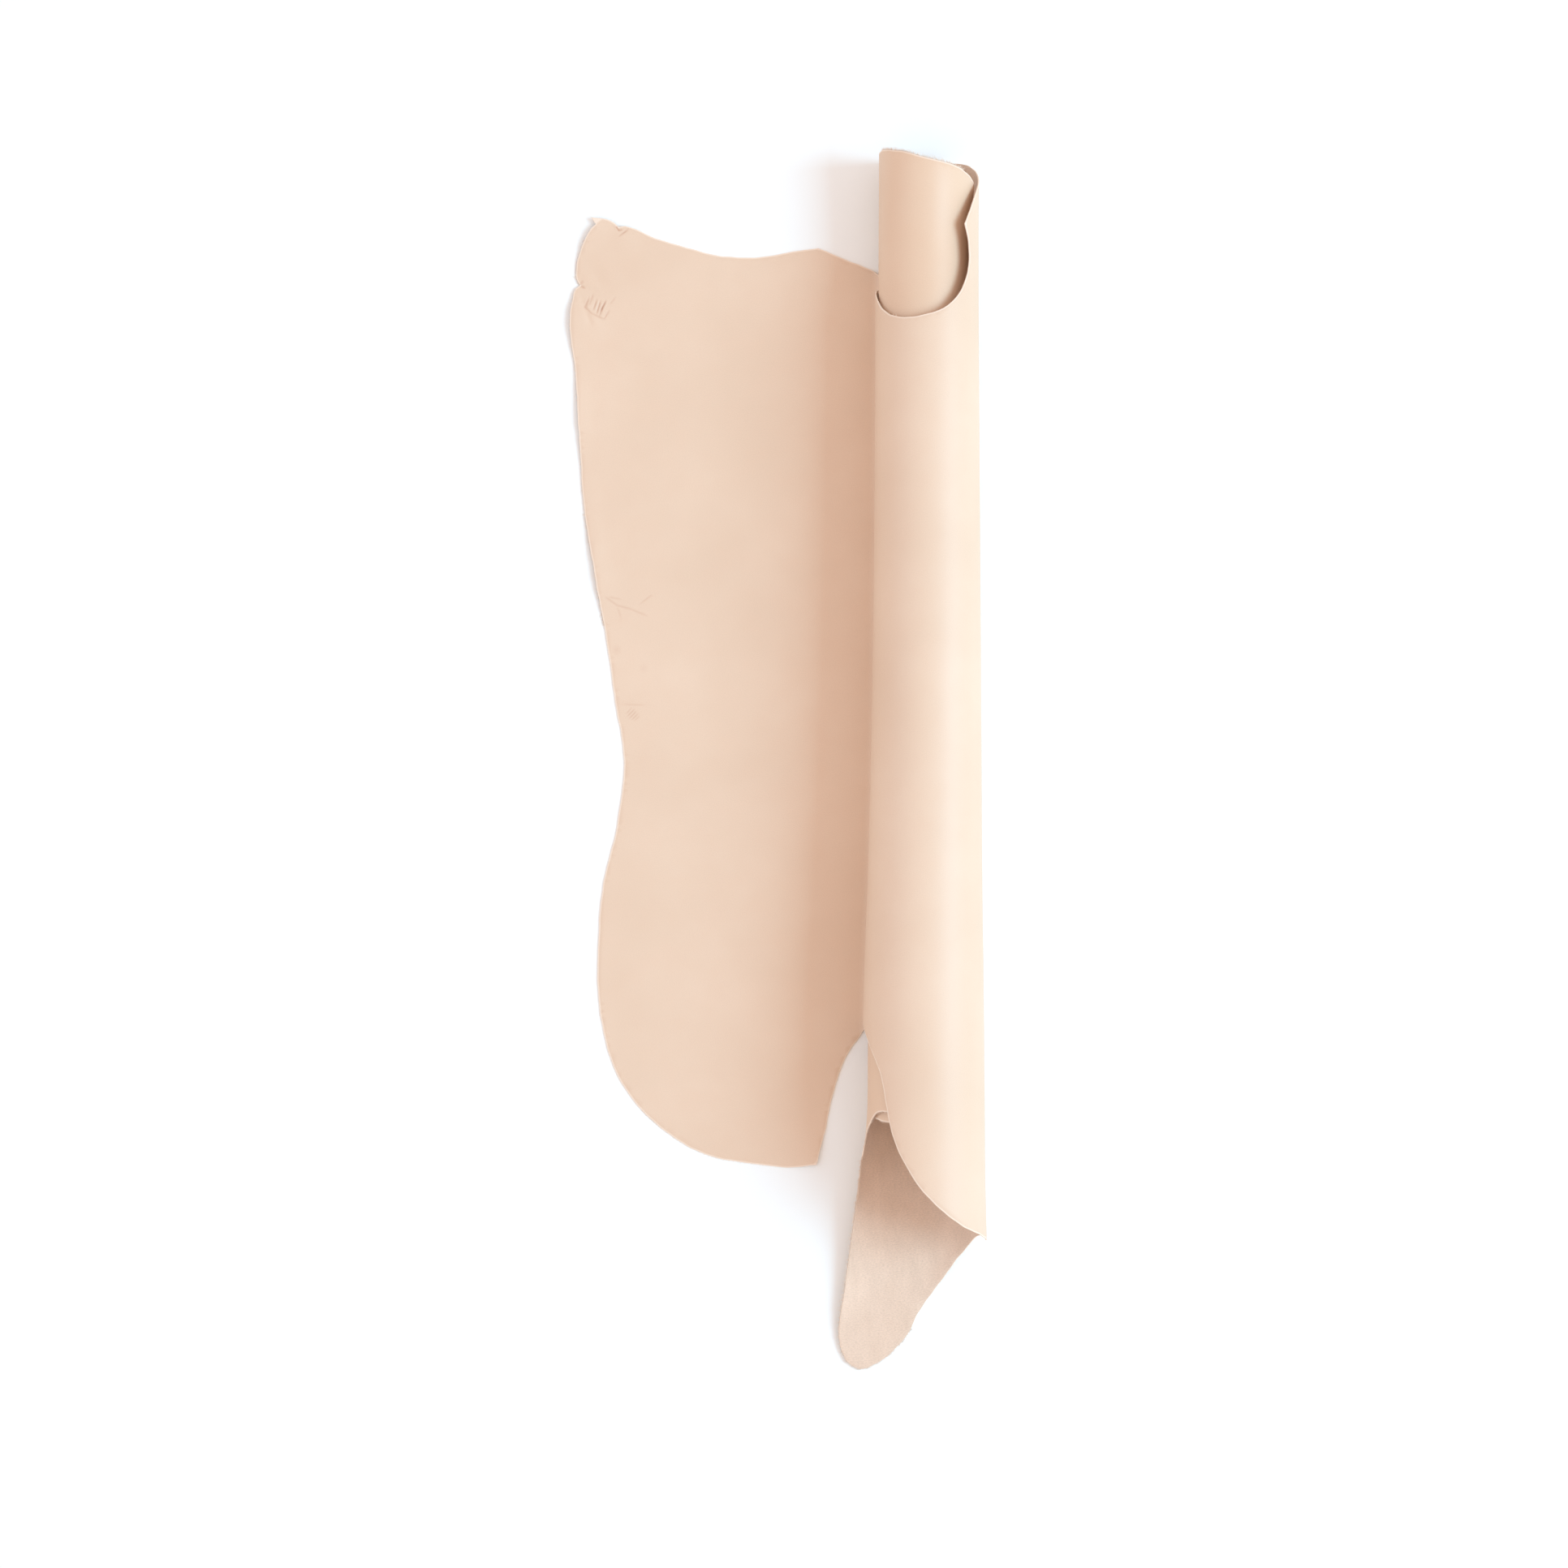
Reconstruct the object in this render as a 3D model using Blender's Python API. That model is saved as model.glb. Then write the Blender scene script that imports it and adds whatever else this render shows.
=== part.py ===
"""Whole calfskin, vegetable tanned: the left half lies flat on a floor, grain side up,
and the right half is rolled up along the backbone, grain side out.

Metres, Z up. The backbone runs along Y with the neck at +Y and the hind end at -Y.
The hide is one sheet of one thickness. Its cut edge is a closed curve drawn on the hide,
then the hide is laid into its shape: flat, up through a tight valley and round the roll.
"""
import bmesh
import bpy
import numpy as np

for left_over in list(bpy.data.objects):
    bpy.data.objects.remove(left_over, do_unlink=True)

MM = 0.001

# Driving dimensions
SHEET = 1.5 * MM             # thickness of the leather
ROLL_SQUASH = 0.965          # height of the roll over its width, sagging under its weight
VALLEY_LEAD = 5.0 * MM       # the valley starts this far outside the roll's left side
VALLEY_REACH = 25.0 * MM     # how far the hide runs under the roll before it turns up
WALL_PULL = 0.55             # how straight the roll's left wall stands
ROUND = 0.5523               # handle length that makes a quarter turn round
CREST_REACH = 0.65           # the second turn runs on this level past its top
SHOULDER = 0.20              # and this far up its right side, so that its shoulder hangs
FLAT_UNIT = 100.0 * MM       # one unit across the flat half, about one quarter turn
EDGE_STEP = 13.0 * MM        # spacing of the points along the cut edge
QUARTER_CUTS = 8             # facets in a quarter turn
ALONG_CUTS = 20              # bands along the backbone

# The roll at stations along the backbone, in millimetres. left and right are the two
# sides of the outer turn, seat is where it rests on the floor.
# second and second_z give the left side of the second turn, which opens out flat
# towards the end of the shank. lead is how far the second turn stands inside on the right
# and drop how far it hangs below the outer one, which is most under the bay near the neck.
ROLL_COLUMNS = ("along", "left", "right", "seat", "second", "second_z", "lead", "drop")
ROLL = (
    (700, 100.3, 212.8, 156.4, 104.6, 52.0, 4.5, 4.5),
    (655, 100.3, 212.3, 156.4, 104.4, 52.0, 5.0, 5.0),
    (604, 100.3, 211.8, 156.2, 104.1, 52.0, 10.5, 13.0),
    (560, 100.3, 211.8, 156.2, 104.0, 52.0, 10.5, 13.0),
    (500, 100.3, 212.0, 156.2, 104.0, 52.0, 10.0, 9.0),
    (400, 100.0, 212.5, 156.2, 103.9, 52.5, 10.0, 4.5),
    (230, 98.7, 213.6, 156.1, 102.9, 53.5, 9.0, 4.5),
    (60, 96.1, 214.6, 155.4, 100.6, 55.0, 9.0, 4.5),
    (-30, 94.0, 215.0, 154.5, 98.8, 56.0, 9.0, 4.5),
    (-120, 91.3, 215.6, 153.5, 96.4, 57.0, 9.0, 4.5),
    (-205, 88.0, 216.6, 152.6, 93.7, 58.5, 9.0, 4.5),
    (-295, 86.2, 217.4, 152.0, 92.1, 60.0, 9.0, 4.5),
    (-366, 85.5, 217.9, 152.0, 90.8, 60.0, 9.0, 4.5),
    (-390, 85.3, 218.0, 152.0, 88.8, 53.0, 9.0, 4.5),
    (-410, 85.2, 218.2, 152.0, 84.2, 46.5, 9.0, 4.5),
    (-430, 85.0, 218.4, 152.0, 80.5, 42.0, 9.0, 4.5),
    (-460, 85.0, 219.0, 152.0, 76.8, 36.0, 9.0, 4.5),
    (-500, 85.0, 220.0, 151.8, 71.2, 26.0, 9.0, 4.5),
    (-560, 85.0, 220.5, 151.5, 63.2, 14.5, 9.0, 4.5),
    (-610, 85.0, 220.5, 151.0, 57.5, 6.5, 9.0, 4.5),
    (-660, 85.0, 220.5, 151.0, 56.5, 4.0, 9.0, 4.5),
)

# Inner turns: how far each turning point stands inside the turn around it, in millimetres.
THIRD_FLOOR_GAP = 4.0 * MM
THIRD_LEFT_GAP = 3.7 * MM
THIRD_TOP_GAP = 3.8 * MM
THIRD_RIGHT_GAP = 6.0 * MM

# The cut edge, once round the hide. turn counts quarter turns of the roll from the
# valley: 1 left side, 2 top, 3 right side, 4 floor, 5 to 7 the second turn and 8 to 11
# the third. On the flat half turn is 0 and across is the distance in millimetres.
# corner 1 is a sharp corner or notch, 0 a smooth pass.
EDGE_COLUMNS = ("place", "across", "turn", "along", "corner")
EDGE = (
    ("neck tip", -213, 0, 627, 1),
    ("under tip", -207.6, 0, 620, 1),
    ("cheek", -214.7, 0, 612.5, 0),
    ("cheek", -225.6, 0, 590, 0),
    ("cheek", -230, 0, 572, 0),
    ("cheek", -229.6, 0, 560, 0),
    ("throat notch", -226, 0, 552.5, 1),
    ("throat", -231, 0, 548, 0),
    ("throat", -234, 0, 538, 0),
    ("throat", -236.8, 0, 508, 0),
    ("fore shank", -231, 0, 456, 0),
    ("fore shank", -227, 0, 390, 0),
    ("fore shank", -222, 0, 314, 0),
    ("belly", -207, 0, 218, 0),
    ("belly tuck", -199, 0, 176, 1),
    ("belly", -186, 0, 88, 0),
    ("belly", -177, 0, 25, 0),
    ("flank", -185, 0, -47, 0),
    ("flank", -200, 0, -112, 0),
    ("hind shank", -206, 0, -185, 0),
    ("hind shank", -203, 0, -256, 0),
    ("hind shank", -192, 0, -304, 0),
    ("hind shank", -170, 0, -346, 0),
    ("butt", -127, 0, -388, 0),
    ("butt", -79, 0, -413, 0),
    ("butt", -35, 0, -420.5, 0),
    ("butt", 5, 0, -424.5, 0),
    ("butt corner", 36, 0, -422, 1),
    ("tail notch side", 44, 0, -390, 0),
    ("tail notch side", 55, 0, -340, 0),
    ("tail notch side", 72, 0, -297, 0),
    ("tail notch", 0, 0.12, -271.5, 0),
    ("tail notch", 0, 0.55, -259, 0),
    ("rump", 0, 1.08, -264, 0),
    ("rump", 0, 1.34, -289, 0),
    ("rump", 0, 1.49, -314, 0),
    ("rump", 0, 1.57, -347, 0),
    ("rump", 0, 1.65, -376, 0),
    ("rump", 0, 1.80, -409, 0),
    ("rump", 0, 2.09, -449, 0),
    ("rump", 0, 2.37, -472, 0),
    ("rump", 0, 2.70, -487, 0),
    ("shank corner", 0, 2.98, -496, 1),
    ("shank", 0, 3.27, -495, 0),
    ("shank", 0, 3.56, -519, 0),
    ("shank", 0, 3.76, -545, 0),
    ("shank", 0, 3.99, -580, 0),
    ("shank", 0, 4.13, -617, 0),
    ("shank tip", 0, 4.30, -638.5, 0),
    ("shank tip", 0, 4.47, -647.5, 0),
    ("shank tip", 0, 4.68, -637, 0),
    ("shank side", 0, 4.81, -616, 0),
    ("shank side", 0, 4.81, -550, 0),
    ("shank side", 0, 4.82, -470, 0),
    ("shank side", 0, 4.85, -418, 0),
    ("shank root", 0, 5.00, -386, 0),
    ("second notch", 0, 5.20, -367, 0),
    ("second notch", 0, 5.36, -354.4, 0),
    ("second notch", 0, 5.60, -352, 0),
    ("second notch", 0, 6.10, -352, 0),
    ("right butt", 0, 6.80, -395, 0),
    ("right butt", 0, 7.50, -405, 0),
    ("right butt", 0, 8.20, -378, 0),
    ("right butt", 0, 8.80, -359, 0),
    ("right butt", 0, 9.20, -360.5, 0),
    ("right butt", 0, 9.45, -363.5, 0),
    ("right butt", 0, 9.80, -361, 0),
    ("right hind shank", 0, 10.00, -330, 0),
    ("right hind shank", 0, 10.04, -250, 0),
    ("right flank", 0, 9.90, -90, 0),
    ("right belly", 0, 9.70, 60, 0),
    ("right belly", 0, 9.85, 220, 0),
    ("right fore shank", 0, 10.10, 380, 0),
    ("right fore shank", 0, 9.90, 520, 0),
    ("right neck", 0, 9.20, 600, 0),
    ("right neck", 0, 8.20, 628, 0),
    ("poll", 0, 7.40, 640, 0),
    ("poll", 0, 6.94, 652, 0),
    ("poll", 0, 6.60, 662, 0),
    ("poll", 0, 6.40, 666.5, 0),
    ("poll", 0, 6.05, 672, 0),
    ("poll", 0, 5.64, 682, 0),
    ("poll", 0, 5.28, 688, 0),
    ("crown", 0, 4.90, 688, 0),
    ("crown", 0, 4.20, 688, 0),
    ("crown", 0, 3.63, 686, 0),
    ("crown", 0, 3.42, 682, 0),
    ("crown", 0, 3.22, 673.5, 0),
    ("crown", 0, 3.00, 660, 0),
    ("crown", 0, 2.75, 640, 0),
    ("ear notch", 0, 2.49, 605, 1),
    ("bay", 0, 2.56, 590, 0),
    ("bay", 0, 2.57, 558, 0),
    ("bay", 0, 2.42, 531.5, 0),
    ("bay", 0, 2.19, 513, 0),
    ("bay", 0, 1.87, 503, 0),
    ("bay", 0, 1.55, 504.5, 0),
    ("bay", 0, 1.30, 515.5, 0),
    ("bay", 0, 1.10, 530, 0),
    ("bay foot", 0, 0.55, 548, 0),
    ("neck side", 0, 0.17, 564, 0),
    ("neck side", 66, 0, 581.5, 0),
    ("neck corner", 38, 0, 594, 1),
    ("neck", 11, 0, 590, 0),
    ("neck", -34, 0, 583, 0),
    ("neck", -68, 0, 585, 0),
    ("neck", -113.5, 0, 596, 0),
    ("neck", -143.5, 0, 605, 0),
    ("neck", -169, 0, 616, 0),
    ("neck", -176.5, 0, 618, 0),
    ("neck notch", -183, 0, 617, 1),
    ("neck", -187, 0, 621, 0),
    ("neck", -194, 0, 624.6, 0),
    ("neck", -204, 0, 626.3, 0),
)

# Places where the flat half stands a little off the floor, in millimetres.
LIFT_COLUMNS = ("place", "across", "along", "reach_across", "reach_along", "height")
LIFTS = (
    ("neck tip", -222, 622, 34, 34, 5.0),
    ("throat edge", -240, 515, 26, 34, 4.0),
    ("fore shank edge", -232, 400, 26, 48, 3.0),
    ("belly edge", -212, 235, 24, 46, 3.5),
    ("neck notch", -176, 606, 16, 14, 2.0),
    ("butt corner", 34, -414, 26, 22, 2.5),
)


def column(table, names, name):
    """One named column of a table as an array."""
    return np.array([row[names.index(name)] for row in table], float)


def smooth(at, places, values):
    """Curve through the values at ascending places: a cubic between each pair, its slope
    at a place the mean of the slopes on both sides, weighted by their lengths."""
    at = np.clip(at, places[0], places[-1])
    step = np.diff(places)
    rise = np.diff(values) / step
    slope = np.concatenate((rise[:1], (rise[:-1] * step[1:] + rise[1:] * step[:-1])
                            / (step[1:] + step[:-1]), rise[-1:]))
    k = np.clip(np.searchsorted(places, at, side="right") - 1, 0, len(step) - 1)
    h = step[k]
    t = (at - places[k]) / h
    return ((2 * t**3 - 3 * t**2 + 1) * values[k] + (t**3 - 2 * t**2 + t) * h * slope[k]
            + (3 * t**2 - 2 * t**3) * values[k + 1] + (t**3 - t**2) * h * slope[k + 1])


def roll_at(along):
    """The columns of the roll table at any place along the backbone, in metres."""
    order = np.argsort(column(ROLL, ROLL_COLUMNS, "along"))
    places = column(ROLL, ROLL_COLUMNS, "along")[order] * MM
    return {name: smooth(along, places, column(ROLL, ROLL_COLUMNS, name)[order] * MM)
            for name in ROLL_COLUMNS[1:]}


def turning_points(along):
    """Across and height of the valley's start and of each side, top and floor point of
    the roll's turns, in the order in which the hide passes them."""
    r = roll_at(along)
    middle = 0.5 * (r["left"] + r["right"])
    top = ROLL_SQUASH * (r["right"] - r["left"])
    second_top = top - r["drop"]
    second_right = r["right"] - r["lead"]
    third_left = np.maximum(r["second"], r["left"] + 5 * MM) + THIRD_LEFT_GAP
    third_right = second_right - THIRD_RIGHT_GAP
    x = (r["left"] - VALLEY_LEAD, r["left"], middle, r["right"], r["seat"], r["second"],
         middle - 2 * MM, second_right, r["seat"] - 2 * MM, third_left, middle, third_right)
    zero = np.zeros_like(top)
    z = (zero, 0.49 * top, top, 0.49 * top, zero, r["second_z"], second_top, 0.48 * top,
         zero + THIRD_FLOOR_GAP, 0.48 * top, second_top - THIRD_TOP_GAP, 0.48 * top)
    return np.array(x), np.array(z)


def laid(turn, along):
    """Place of a point of the hide's middle layer. On the flat half (turn below 0) it
    lies on the floor. On the roll it is on a cubic curve between two turning points, whose
    handles lie level at tops and floors and upright at sides."""
    x, z = turning_points(along)
    k = np.clip(np.floor(turn).astype(int), 0, len(x) - 2)
    t = np.clip(turn, 0, None) - k
    at = np.arange(len(k))
    x0, x3, z0, z3 = x[k, at], x[k + 1, at], z[k, at], z[k + 1, at]
    starts_level = k % 2 == 0
    x1 = np.where(starts_level, x0 + ROUND * (x3 - x0), x0)
    z1 = np.where(starts_level, z0, z0 + ROUND * (z3 - z0))
    x2 = np.where(starts_level, x3, x3 - ROUND * (x3 - x0))
    z2 = np.where(starts_level, z3 - ROUND * (z3 - z0), z3)
    x1 = np.where(k == 0, x0 + VALLEY_REACH, x1)
    z2 = np.where(k == 0, z3 * (1 - WALL_PULL), z2)
    x1 = np.where(k == 6, x0 + CREST_REACH * (x3 - x0), x1)
    z2 = np.where(k == 6, z3 - SHOULDER * (z3 - z0), z2)
    b = ((1 - t)**3, 3 * (1 - t)**2 * t, 3 * (1 - t) * t**2, t**3)
    across = b[0] * x0 + b[1] * x1 + b[2] * x2 + b[3] * x3
    height = b[0] * z0 + b[1] * z1 + b[2] * z2 + b[3] * z3
    across = across + np.minimum(turn, 0) * FLAT_UNIT
    flat = np.clip(-turn * FLAT_UNIT / (30 * MM), 0, 1)
    for _, lx, ly, wx, wy, h in LIFTS:
        bump = np.exp(-((across - lx * MM) / (wx * MM))**2 - ((along - ly * MM) / (wy * MM))**2)
        height = height + flat * h * MM * bump
    return np.stack((across, along, height + SHEET / 2), axis=-1)


def cut_edge():
    """The cut edge as a closed line of (turn, along) points at even steps: smooth passes
    follow a curve through their neighbours, and corners stay sharp."""
    along = column(EDGE, EDGE_COLUMNS, "along") * MM
    turn = column(EDGE, EDGE_COLUMNS, "turn")
    across = column(EDGE, EDGE_COLUMNS, "across") * MM
    valley = turning_points(along)[0][0]
    turn = np.where(turn == 0, (across - valley) / FLAT_UNIT, turn)
    corner = column(EDGE, EDGE_COLUMNS, "corner") == 1
    p = np.stack((turn * FLAT_UNIT, along), axis=-1)
    before = np.roll(p, 1, axis=0)
    after = np.roll(p, -1, axis=0)
    came = np.linalg.norm(p - before, axis=1)[:, None]
    goes = np.linalg.norm(after - p, axis=1)[:, None]
    slope = ((p - before) / came * goes + (after - p) / goes * came) / (came + goes)
    leave = np.where(corner[:, None], (after - p) / goes, slope)
    arrive = np.where(corner[:, None], (p - before) / came, slope)
    line = []
    for i in range(len(p)):
        j = (i + 1) % len(p)
        length = np.linalg.norm(p[j] - p[i])
        t = np.arange(max(2, round(length / EDGE_STEP)))[:, None] / max(2, round(length / EDGE_STEP))
        line.append((2 * t**3 - 3 * t**2 + 1) * p[i] + (t**3 - 2 * t**2 + t) * length * leave[i]
                    + (3 * t**2 - 2 * t**3) * p[j] + (t**3 - t**2) * length * arrive[j])
    line = np.concatenate(line)
    line[:, 0] /= FLAT_UNIT
    return line


def hide_mesh():
    """Fills the cut edge, cuts it into bands across and along, and lays it into shape."""
    edge = cut_edge()
    bm = bmesh.new()
    corners = [bm.verts.new((u * FLAT_UNIT, v, 0)) for u, v in edge]
    bm.faces.new(corners)
    last_turn = edge[:, 0].max()
    across_cuts = list(np.arange(-3.0, 0, 0.5)) + list(np.arange(0, last_turn, 1 / QUARTER_CUTS))
    along_cuts = np.linspace(edge[:, 1].min(), edge[:, 1].max(), ALONG_CUTS + 1)[1:-1]
    for turn in across_cuts:
        bmesh.ops.bisect_plane(bm, geom=bm.verts[:] + bm.edges[:] + bm.faces[:], dist=1e-6,
                               plane_co=(turn * FLAT_UNIT, 0, 0), plane_no=(1, 0, 0))
    for place in along_cuts:
        bmesh.ops.bisect_plane(bm, geom=bm.verts[:] + bm.edges[:] + bm.faces[:], dist=1e-6,
                               plane_co=(0, place, 0), plane_no=(0, 1, 0))
    bmesh.ops.triangulate(bm, faces=bm.faces[:], quad_method="BEAUTY", ngon_method="BEAUTY")
    flat = np.array([vertex.co[:2] for vertex in bm.verts])
    shaped = laid(flat[:, 0] / FLAT_UNIT, flat[:, 1])
    middle = 0.5 * (shaped.min(axis=0) + shaped.max(axis=0))
    for vertex, place in zip(bm.verts, shaped):
        vertex.co = (place[0] - middle[0], place[1] - middle[1], place[2])
    bmesh.ops.recalc_face_normals(bm, faces=bm.faces[:])
    up = sum(face.normal.z * face.calc_area() for face in bm.faces if face.calc_center_median().x < -0.1)
    if up < 0:
        bmesh.ops.reverse_faces(bm, faces=bm.faces[:])
    mesh = bpy.data.meshes.new("calfskin")
    bm.to_mesh(mesh)
    bm.free()
    return mesh


calfskin = bpy.data.objects.new("calfskin", hide_mesh())
bpy.context.scene.collection.objects.link(calfskin)
for polygon in calfskin.data.polygons:
    polygon.use_smooth = True

thickness = calfskin.modifiers.new("thickness", "SOLIDIFY")
thickness.thickness = SHEET
thickness.offset = 0.0
thickness.use_even_offset = True

leather = bpy.data.materials.new("undyed vegetable tanned leather")
leather.use_nodes = True
shader = leather.node_tree.nodes["Principled BSDF"]
shader.inputs["Base Color"].default_value = (0.84, 0.66, 0.52, 1.0)
shader.inputs["Roughness"].default_value = 0.55
calfskin.data.materials.append(leather)
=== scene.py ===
import math

import bpy
import numpy as np
from mathutils.geometry import delaunay_2d_cdt
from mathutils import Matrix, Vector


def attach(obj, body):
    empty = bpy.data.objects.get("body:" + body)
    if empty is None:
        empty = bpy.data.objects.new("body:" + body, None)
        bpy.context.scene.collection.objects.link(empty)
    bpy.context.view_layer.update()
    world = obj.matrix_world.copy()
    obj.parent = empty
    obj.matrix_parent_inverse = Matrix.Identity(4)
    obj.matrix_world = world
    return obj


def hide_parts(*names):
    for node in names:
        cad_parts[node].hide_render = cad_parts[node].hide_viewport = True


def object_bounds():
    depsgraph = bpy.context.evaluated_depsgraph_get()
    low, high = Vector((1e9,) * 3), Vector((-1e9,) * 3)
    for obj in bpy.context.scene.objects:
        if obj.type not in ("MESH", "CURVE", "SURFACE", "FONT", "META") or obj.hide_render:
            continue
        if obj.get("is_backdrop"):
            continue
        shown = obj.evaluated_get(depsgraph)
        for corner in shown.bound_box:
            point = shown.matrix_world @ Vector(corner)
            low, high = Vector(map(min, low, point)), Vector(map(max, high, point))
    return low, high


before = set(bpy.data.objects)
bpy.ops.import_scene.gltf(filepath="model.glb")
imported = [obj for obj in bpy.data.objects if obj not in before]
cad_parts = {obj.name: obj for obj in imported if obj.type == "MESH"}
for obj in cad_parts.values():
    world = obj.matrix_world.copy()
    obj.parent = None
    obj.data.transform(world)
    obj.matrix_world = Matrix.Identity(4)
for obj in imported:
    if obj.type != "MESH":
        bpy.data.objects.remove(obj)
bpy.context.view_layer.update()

# Skin: one whole calf hide, vegetable tanned, left undyed and shaved to 1.5 mm. Its left half
# lies flat with the grain up, its right half is rolled along the backbone with the grain
# outside, and the end of one shank lies open with the flesh side up.
MM = 0.001
SHEET = 1.5 * MM

# A place across the skin is counted in quarter turns of the roll, called turn below, from
# the valley where the skin leaves the floor. The flat half is counted back from there, one
# for each FLAT_UNIT. The roll is a little lower than wide, widest a little under half its
# height (the waists), and begins VALLEY_LEAD ahead of its left side. ROUND is the handle of
# a quarter circle; the valley and the wall over it have their own, VALLEY_REACH and
# WALL_PULL.
FLAT_UNIT = 100.0 * MM
ROLL_SQUASH = 0.965
VALLEY_LEAD = 5.0 * MM
VALLEY_REACH = 25.0 * MM
WALL_PULL = 0.55
ROUND = 0.5523
OUTER_WAIST = 0.49
INNER_WAIST = 0.48

# The second turn: its crest and seat stand a little left of the outer turn's, and its crest
# runs level for longer, with a tighter shoulder.
SECOND_SHIFT = 2 * MM
CREST_QUARTER = 6
CREST_REACH = 0.65
SHOULDER = 0.20

# The third turn: how far it stands inside the second one at floor, left, top and right.
THIRD_LEFT_LEAST = 5 * MM
THIRD_FLOOR_GAP = 4.0 * MM
THIRD_LEFT_GAP = 3.7 * MM
THIRD_TOP_GAP = 3.8 * MM
THIRD_RIGHT_GAP = 6.0 * MM

# The roll's section at places along it, in millimetres: along, left side, right side, where
# it sits on the floor, the second turn's left side and that side's height, then how far the
# second turn's right side stands inside the outer one and how far its top hangs below it.
ROLL = np.array((
    (700, 100.3, 212.8, 156.4, 104.6, 52.0, 4.5, 4.5),
    (655, 100.3, 212.3, 156.4, 104.4, 52.0, 5.0, 5.0),
    (604, 100.3, 211.8, 156.2, 104.1, 52.0, 10.5, 13.0),
    (560, 100.3, 211.8, 156.2, 104.0, 52.0, 10.5, 13.0),
    (500, 100.3, 212.0, 156.2, 104.0, 52.0, 10.0, 9.0),
    (400, 100.0, 212.5, 156.2, 103.9, 52.5, 10.0, 4.5),
    (230, 98.7, 213.6, 156.1, 102.9, 53.5, 9.0, 4.5),
    (60, 96.1, 214.6, 155.4, 100.6, 55.0, 9.0, 4.5),
    (-30, 94.0, 215.0, 154.5, 98.8, 56.0, 9.0, 4.5),
    (-120, 91.3, 215.6, 153.5, 96.4, 57.0, 9.0, 4.5),
    (-205, 88.0, 216.6, 152.6, 93.7, 58.5, 9.0, 4.5),
    (-295, 86.2, 217.4, 152.0, 92.1, 60.0, 9.0, 4.5),
    (-366, 85.5, 217.9, 152.0, 90.8, 60.0, 9.0, 4.5),
    (-390, 85.3, 218.0, 152.0, 88.8, 53.0, 9.0, 4.5),
    (-410, 85.2, 218.2, 152.0, 84.2, 46.5, 9.0, 4.5),
    (-430, 85.0, 218.4, 152.0, 80.5, 42.0, 9.0, 4.5),
    (-460, 85.0, 219.0, 152.0, 76.8, 36.0, 9.0, 4.5),
    (-500, 85.0, 220.0, 151.8, 71.2, 26.0, 9.0, 4.5),
    (-560, 85.0, 220.5, 151.5, 63.2, 14.5, 9.0, 4.5),
    (-610, 85.0, 220.5, 151.0, 57.5, 6.5, 9.0, 4.5),
    (-660, 85.0, 220.5, 151.0, 56.5, 4.0, 9.0, 4.5),
))[::-1] * MM

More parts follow.
